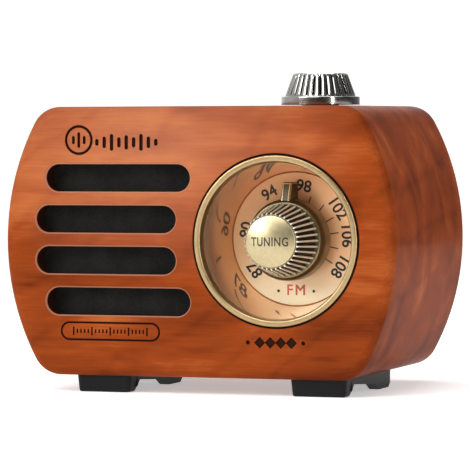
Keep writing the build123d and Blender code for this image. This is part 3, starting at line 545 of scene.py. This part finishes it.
def makeGrilleCloth():
    # two sets of threads pass over and under: height is the product of two sines
    values = clothValues
    wide, tall = clothHigh[0] - clothLow[0], clothHigh[2] - clothLow[2]
    columns, rows = (int(size / values["pitch"] * values["perThread"]) for size in (wide, tall))
    u, v = np.meshgrid(np.linspace(0, 1, columns), np.linspace(0, 1, rows))
    z = clothLow[2] + v * tall
    # the case's inside is bowed, so the cloth's left edge is part of a circle too
    bow = np.sqrt(values["bowRadius"] ** 2 - (z - caseCentre[2]) ** 2)
    edge = np.maximum(clothLow[0], values["bowCentre"] - bow)
    x = edge + u * (clothHigh[0] - edge)
    height = np.sin(np.pi * x / values["pitch"]) * np.sin(np.pi * z / values["pitch"])
    y = clothLow[1] + values["relief"] * (1.2 - height)
    points, faces = np.stack((x, y, z), -1), gridQuads(rows, columns, False)
    piece = makePiece("grilleCloth", points, faces, "case", "grille_cloth")
    solid = piece.modifiers.new("thickness", "SOLIDIFY")
    solid.thickness = values["thickness"]
    solid.offset = -1 if piece.data.polygons[0].normal.y < 0 else 1
    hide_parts("speaker_cloth")


makeGrilleCloth()
print("grille cloth made")


# dial: ring, cup, plate and print
dialValues = {
    "ringInner": 22.9 * mm,
    "cupMouth": 22.55 * mm,
    "cupFloor": 19.62 * mm,
    "cupWall": 1.1 * mm,
    "cupHole": 4.0 * mm,
    "numbers": (
        ("87", -125.4), ("90", -80.6), ("94", -31.3), ("98", 9.0), ("102", 56.0), ("106", 87.0), ("108", 121.5)
    ),
    "numberRadius": 15.8 * mm,
    "numberHeight": 3.3 * mm,
    "tickRadii": (10.2 * mm, 13.2 * mm),
    "tickWidth": 0.30 * mm,
    "tickStep": 20.4,
    "tickCount": 13,
    "bandRadius": 14.9 * mm,
    "bandHeight": 3.0 * mm,
    "dotRadius": 16.2 * mm,
    "dotAngle": 160.4,
    "dotSize": 0.42 * mm,
    "dotSides": 20,
    "inkDepth": 0.02 * mm,
    "lift": 0.03 * mm,
}


def makeDialRing():
    inner, outer = dialValues["ringInner"], (ringHigh[0] - ringLow[0]) / 2
    front, back = ringLow[1], ringHigh[1]
    outline = roundedOutline(
        (
            (inner - 0.34 * mm, back, 0),
            (inner, front + 0.3 * mm, 0.2 * mm),
            (inner + 0.35 * mm, front, 0.25 * mm),
            (outer - 0.3 * mm, front, 0.25 * mm),
            (outer, front + 0.35 * mm, 0.25 * mm),
            (outer, back, 0),
        ),
        5,
    )
    piece = turnedPiece("dialRing", outline, dialCentre, "Y", 240, "case", "polished_gold")
    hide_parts("dial_ring")


def makeDialCup():
    # a tapered polished cup with a small radius at its floor
    mouth, back = ringHigh[1], plateHigh[1]
    wide, narrow, wall, hole = (dialValues[key] for key in ("cupMouth", "cupFloor", "cupWall", "cupHole"))
    outline = roundedOutline(
        (
            (wide, mouth, 0.1 * mm),
            (narrow, back, 0.5 * mm),
            (hole, back, 0),
            (hole, back + wall, 0),
            (narrow + wall, back + wall, 0.4 * mm),
            (wide + wall, mouth, 0.1 * mm),
        ),
        6,
    )
    mirror = makeMetal("polished copper cup", (0.84, 0.54, 0.345), 0.07, bump=0.005, shade=0.95, metallic=0.8)
    piece = turnedPiece("dialCup", outline, dialCentre, "Y", 240, "case", "copper_gold", material=mirror)
    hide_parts("dial_cup")


def onDial(points, away, degrees, tilt):
    # lettering put on the plate at a distance and clockwise angle from its middle, and tilted
    turn = math.radians(degrees)
    x, z = dialCentre[0] + away * math.sin(turn), dialCentre[2] + away * math.cos(turn)
    return facingFront(points, x, z, math.radians(tilt), plateLow[1] - dialValues["lift"])


def makeDialPrint():
    values = dialValues
    parts = []
    for text, degrees in values["numbers"]:
        points, faces = letterPoints(text, values["numberHeight"], bold=0.09 * mm)
        parts.append((onDial(points, values["numberRadius"], degrees, degrees), faces))
    half, levels = values["tickWidth"] / 2, (-values["inkDepth"], values["inkDepth"])
    bar = np.array([(side, r, d) for d in levels for r in values["tickRadii"] for side in (-half, half)])
    barFaces = [[0, 1, 3, 2], [4, 6, 7, 5], [0, 4, 5, 1], [2, 3, 7, 6], [0, 2, 6, 4], [1, 5, 7, 3]]
    for place in range(values["tickCount"]):
        degrees = (place - (values["tickCount"] - 1) / 2) * values["tickStep"]
        parts.append((onDial(bar, 0, 0, degrees), barFaces))
    count = values["dotSides"]
    around = np.linspace(0, 2 * np.pi, count, endpoint=False)
    ring = np.stack((np.cos(around), np.sin(around)), -1) * values["dotSize"]
    disc = np.vstack([np.column_stack((ring, np.full(count, d))) for d in levels])
    discFaces = [list(range(count))[::-1], list(range(count, 2 * count))]
    discFaces += [[k, (k + 1) % count, (k + 1) % count + count, k + count] for k in range(count)]
    for side in (-1, 1):
        parts.append((onDial(disc, values["dotRadius"], side * values["dotAngle"], 0), discFaces))
    points, faces = joinParts(parts)
    ink = makePlastic("black ink", (0.010, 0.009, 0.009), 0.4)
    makePiece("dialPrint", points, faces, "case", "component_black", ink)
    points, faces = letterPoints("FM", values["bandHeight"], bold=0.07 * mm, spacing=1.25)
    ink = makePlastic("red ink", (0.78, 0.15, 0.09), 0.4)
    makePiece("bandPrint", onDial(points, values["bandRadius"], 180, 0), faces, "case", "wire_red", ink)


makeDialRing()
makeDialCup()
makeDialPrint()
print("dial made")


# tuning knob: ribbed cone, domed cap with its word, dark skirt with a pointer
tuningValues = {
    "faceRadius": 8.25 * mm,
    "baseRadius": 10.7 * mm,
    "seatRadius": 7.62 * mm,
    "seatDepth": 1.2 * mm,
    "ribs": 36,
    "ribDepth": 0.85 * mm,
    "ribSharpness": 1.3,
    "domeRadius": 7.2 * mm,
    "domeRim": 7.3 * mm,
    "domeSag": 1.15 * mm,
    "word": "TUNING",
    "wordHeight": 2.45 * mm,
    "wordLift": 0.03 * mm,
    "skirtRadius": 12.0 * mm,
    "skirtDepth": 7.0 * mm,
    "pointerWidth": 2.9 * mm,
    "pointerRoot": 10.0 * mm,
    "pointerEdge": 0.42 * mm,
    "pointerSlant": 2.3 * mm,
    "highlightEdge": 0.16 * mm,
}


def makeTuningKnob():
    values = tuningValues
    front, back, seat = knobLow[1], knobHigh[1], values["seatRadius"]
    face, base, floor = values["faceRadius"], values["baseRadius"], front + values["seatDepth"]
    t = np.linspace(0.035, 0.965, 16)
    slope = np.column_stack((face + t * (base - face), front + t * (back - front)))
    head = np.array([(boreRadius, floor), (seat, floor), (seat, front + 0.12 * mm), (seat + 0.12 * mm, front)])
    tail = np.array([(base - 0.9 * mm, back), (boreRadius, back)])
    shadow = ((0.22, 0.50), (0.010, 0.008, 0.005))
    pale = makeMetal("ribbed brass", (0.80, 0.75, 0.60), 0.28, metallic=0.5, groove=shadow)
    piece = ribbedPiece(
        "tuningKnob", head, slope, tail, np.ones(len(t)), values, dialCentre, "Y", "tuning", "aged_brass",
        material=pale,
    )
    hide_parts("tuning_knob")


def domeRise(radius):
    # how far the cap's face stands behind its middle at a distance from the axis: part of a sphere
    rim, sag = tuningValues["domeRim"], tuningValues["domeSag"]
    sphere = (rim**2 + sag**2) / (2 * sag)
    return sphere - np.sqrt(sphere**2 - np.minimum(radius, rim) ** 2)


def makeKnobCap():
    radius, edge = (capHigh[0] - capLow[0]) / 2, tuningValues["domeRadius"]
    across = np.linspace(0, edge, 22)
    dome = np.column_stack((across, capLow[1] + domeRise(across)))
    fall = dome[-1, 1]
    rim = roundedOutline(((edge, fall, 0), (radius, fall + 0.12 * mm, 0.25 * mm), (radius, capHigh[1], 0)), 6)
    outline = np.vstack((dome, rim[6:], [(0, capHigh[1])]))
    piece = turnedPiece("tuningCap", outline, dialCentre, "Y", 160, "tuning", "aged_brass", closed=False)
    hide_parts("knob_cap")


def makeKnobWord():
    # the word follows the dome, just proud of it so that it reads as dark-filled engraving
    values = tuningValues
    points, faces = letterPoints(
        values["word"], values["wordHeight"], bold=0.07 * mm, spacing=1.12, thick=0.012 * mm, narrow=0.76
    )
    placed = facingFront(points, dialCentre[0], dialCentre[2], 0, 0)
    away = np.hypot(placed[:, 0] - dialCentre[0], placed[:, 2] - dialCentre[2])
    placed[:, 1] += capLow[1] + domeRise(away) - values["wordLift"]
    ink = makePlastic("dark filling", (0.030, 0.022, 0.012), 0.5)
    makePiece("tuningWord", placed, faces, "tuning", "dark_bronze", ink)


def makePointerSkirt():
    radius, front = tuningValues["skirtRadius"], knobHigh[1]
    back = front + tuningValues["skirtDepth"]
    outline = roundedOutline(
        (
            (boreRadius, front, 0),
            (radius - 1.1 * mm, front, 0.3 * mm),
            (radius - 0.1 * mm, front + 1.6 * mm, 1.2 * mm),
            (radius, back, 0.5 * mm),
            (boreRadius, back, 0),
        ),
        8,
    )
    piece = turnedPiece("pointerSkirt", outline, dialCentre, "Y", 200, "tuning", "dark_bronze")
    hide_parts("pointer_skirt")


def makePointerTab():
    # a wedge whose front falls back towards its tip; its bevelled edges are given the brass finish as a painted
    # highlight
    values = tuningValues
    half, edge, slant = values["pointerWidth"] / 2, values["pointerEdge"], values["pointerSlant"]
    front, back = skirtLow[1] + 0.35 * mm, skirtHigh[1]
    root, tip = dialCentre[2] + values["pointerRoot"], skirtHigh[2]
    # rings from the root to the tip: height, how far the ring is drawn in, how far its front has fallen back
    rings = np.array([(root, 0, 0), (tip - edge, 0, slant), (tip, edge, slant + edge)])
    z, draw, fall = (rings[:, k : k + 1] for k in range(3))
    side = np.array([-half, -half + edge, half - edge, half, half, half - edge, edge - half, -half])[None, :]
    across = np.clip(side, draw - half, half - draw)
    forward = np.array([edge, 0, 0, edge, 0, 0, 0, 0])[None, :]
    isFront = np.array([1, 1, 1, 1, 0, 0, 0, 0])[None, :]
    y = isFront * (front + fall + forward) + (1 - isFront) * (back - draw)
    points = np.stack((dialCentre[0] + across, y, z + 0 * across), -1)
    faces = gridQuads(3, 8, True).tolist() + [list(range(8)), list(range(16, 24))[::-1]]
    dark = makeMetal("blackened bronze", (0.060, 0.050, 0.032), 0.34)
    piece = makePiece("pointerTab", points, faces, "tuning", "dark_bronze", dark, sharp=20)
    trim = piece.modifiers.new("painted highlight edges", "BEVEL")
    trim.width, trim.segments = values["highlightEdge"], 3
    trim.limit_method, trim.angle_limit = "ANGLE", math.radians(15)
    # painted highlight: the bevel faces take the brass finish
    piece.data.materials.append(finishes["aged_brass"])
    trim.material = 1


makeTuningKnob()
makeKnobCap()
makeKnobWord()
makePointerSkirt()
makePointerTab()
print("tuning knob made")


# volume knob: smooth collar, fluted cone, flat lid
volumeValues = {
    "baseRadius": 10.6 * mm,
    "topRadius": 8.1 * mm,
    "seatRadius": 7.22 * mm,
    "seatDepth": 1.0 * mm,
    "ribs": 30,
    "ribDepth": 0.55 * mm,
    "ribSharpness": 0.35,
    "collarRadius": 11.8 * mm,
    "collarStep": 0.6 * mm,
    "collarHollow": 7.2 * mm,
    "lidRadius": 7.15 * mm,
    "lidDish": 0.35 * mm,
}


def makeVolumeKnob():
    values = volumeValues
    low, high, seat = volumeLow[2], volumeHigh[2], values["seatRadius"]
    base, top, floor = values["baseRadius"], values["topRadius"], high - values["seatDepth"]
    t = np.linspace(0.03, 0.96, 14)
    slope = np.column_stack((base + t * (top - base), low + t * (high - low)))
    share = np.clip(np.minimum(t / 0.06, (1 - t) / 0.10) - 0.3, 0, 1)  # the flutes fade out at both ends
    head = np.array([(boreRadius, low), (base - 0.2 * mm, low)])
    rim = [(top - 0.25 * mm, high), (seat + 0.1 * mm, high), (seat, high - 0.1 * mm)]
    tail = np.array(rim + [(seat, floor), (boreRadius, floor)])
    piece = ribbedPiece(
        "volumeKnob", head, slope, tail, share, values, volumeCentre, "Z", "volume", "dark_chrome"
    )
    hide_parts("volume_knob")


def makeVolumeCollar():
    values = volumeValues
    low, high, radius = collarLow[2], collarHigh[2], values["collarRadius"]
    hollow, step = values["collarHollow"], high - values["collarStep"]
    outline = roundedOutline(
        (
            (hollow, low, 0),
            (radius, low, 0.15 * mm),
            (radius, high - 0.2 * mm, 0.15 * mm),
            (radius - 0.3 * mm, high, 0.15 * mm),
            (boreRadius, high, 0),
            (boreRadius, step, 0),
            (hollow, step, 0),
        ),
        7,
    )
    piece = turnedPiece("volumeCollar", outline, volumeCentre, "Z", 200, "volume", "dark_chrome")
    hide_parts("volume_skirt")


def makeVolumeLid():
    # slightly dished: the height grows with the square of the radius
    radius, dish, high = volumeValues["lidRadius"], volumeValues["lidDish"], lidHigh[2]
    share = np.linspace(0, 1, 16)
    face = np.column_stack((share * (radius - 0.25 * mm), high - dish + dish * share**2))
    shoulder = [(radius - 0.05 * mm, high - 0.06 * mm), (radius, high - 0.2 * mm)]
    outline = np.vstack((face, shoulder, [(radius, lidLow[2]), (0, lidLow[2])]))
    piece = turnedPiece("volumeLid", outline, volumeCentre, "Z", 160, "volume", "dark_chrome", closed=False)
    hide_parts("volume_cap")


makeVolumeKnob()
makeVolumeCollar()
makeVolumeLid()
print("volume knob made")


# camera, light and floor
cameraValues = {
    "azimuth": 19.245,
    "elevation": 1.897,
    "roll": -0.203,
    "distance": 1.0,
    "lens": 254.87,
    "aside": -0.925 * mm,
    "above": 0.908 * mm,
}
lightValues = (
    # name, place, target, size across and up, watts
    ("key", (-0.62, -0.88, 0.42), (0.0, 0.0, 0.05), (0.42, 0.42), 6.1),
    ("front", (-0.10, -0.85, 0.85), (0.0, 0.0, 0.05), (0.7, 0.5), 6.5),
    ("top", (0.0, 0.15, 0.80), (0.0, 0.0, 0.05), (0.8, 0.5), 2.5),
    ("edge", (0.60, -0.42, 0.20), (0.04, -0.02, 0.05), (0.035, 0.6), 2.2),
)
roomValues = {
    "sky": ((0.1, (0.05,) * 3), (0.6, (0.30,) * 3), (0.95, (1.0,) * 3)),
    "skyStrength": 0.70,
    "floor": (0.90, 0.90, 0.89, 1),
    "floorGlow": 0.42,
    "left": -3.0,
    "right": 3.0,
    "near": -1.5,
    "far": 0.9,
    "seam": -0.1,
    "bend": 0.5,
    "tall": 2.5,
}


def stand(name, data, right, up, back, place):
    # an object whose own X, Y and Z point right, up and back
    holder = bpy.data.objects.new(name, data)
    bpy.context.scene.collection.objects.link(holder)
    turn = np.eye(4)
    turn[:3] = np.column_stack((right, up, back, place))
    holder.matrix_world = mathutils.Matrix(turn.tolist())
    return holder


def makeCamera():
    values = cameraValues
    azimuth, elevation, roll = (math.radians(values[key]) for key in ("azimuth", "elevation", "roll"))
    level, height = math.cos(elevation), math.sin(elevation)
    back = np.array((math.sin(azimuth) * level, -math.cos(azimuth) * level, height))
    right = np.array((math.cos(azimuth), math.sin(azimuth), 0))
    aim = caseCentre + values["aside"] * right + np.array((0, 0, values["above"]))
    right = right * math.cos(roll) + np.cross(back, right) * math.sin(roll)
    camera = bpy.data.cameras.new("camera")
    camera.lens = values["lens"]
    camera.sensor_width = 36
    camera.clip_start, camera.clip_end = 0.05, 20
    place = aim + back * values["distance"]
    bpy.context.scene.camera = stand("camera", camera, right, np.cross(back, right), back, place)


def makeLights():
    for name, place, target, size, watts in lightValues:
        light = bpy.data.lights.new(name, "AREA")
        light.shape = "RECTANGLE"
        light.size, light.size_y = size
        light.energy = watts
        back = np.array(place) - np.array(target)
        back /= np.linalg.norm(back)
        right = np.cross((0, 0, 1), back)
        right /= np.linalg.norm(right)
        stand(name, light, right, np.cross(back, right), back, place)


def makeSky():
    # pale behind and above, much greyer in front and to the right so that bright metal has contrast
    world = bpy.data.worlds.new("studio")
    bpy.context.scene.world = world
    world.use_nodes = True
    tree = world.node_tree
    tree.nodes.clear()
    direction = addNode(tree, "ShaderNodeTexCoord").outputs["Generated"]
    x, y, z = addNode(tree, "ShaderNodeSeparateXYZ", {"Vector": direction}).outputs
    level = weighted(tree, 0.0, (y, 0.6), (x, -1.1), (z, 0.6))
    colour = ramp(tree, remap(tree, level, -1.0, 1.0), *roomValues["sky"])
    seen = addNode(tree, "ShaderNodeLightPath").outputs["Is Camera Ray"]
    colour = blendColours(tree, seen, colour, (1.43, 1.43, 1.43))  # looked at directly, the sky is white
    sky = addNode(tree, "ShaderNodeBackground", {"Color": colour, "Strength": roomValues["skyStrength"]})
    addNode(tree, "ShaderNodeOutputWorld", {"Surface": sky.outputs[0]})


def makeFloor():
    # a flat floor, and behind it to the left a backdrop that curves up: a quarter circle, then a wall
    values = roomValues
    material, tree, shader = newMaterial("pale floor")
    fill(tree, shader, {
        "Base Color": values["floor"],
        "Roughness": 0.8,
        "Specular IOR Level": 0.1,
        "Emission Color": (1, 1, 1, 1),
        "Emission Strength": values["floorGlow"],
    })
    left, right, near, far, bend = (values[key] for key in ("left", "right", "near", "far", "bend"))
    angle = np.linspace(0, np.pi / 2, 24)
    run = np.append(far + bend * np.sin(angle), far + bend)
    rise = np.append(bend - bend * np.cos(angle), values["tall"])
    sweep = np.array([(side, y, z) for y, z in zip(run, rise) for side in (left, values["seam"])])
    flat = np.array([(side, y, 0.0) for y in (near, far) for side in (left, right)])
    for name, points in (("floor", flat), ("backdrop", sweep)):
        mesh = bpy.data.meshes.new(name)
        strips = [(2 * k, 2 * k + 1, 2 * k + 3, 2 * k + 2) for k in range(len(points) // 2 - 1)]
        mesh.from_pydata(points, [], strips)
        mesh.polygons.foreach_set("use_smooth", np.ones(len(mesh.polygons), bool))
        mesh.materials.append(material)
        piece = bpy.data.objects.new(name, mesh)
        bpy.context.scene.collection.objects.link(piece)
    bpy.context.scene.view_settings.view_transform = "Standard"


makeCamera()
makeLights()
makeSky()
makeFloor()
print("camera, light and floor made")
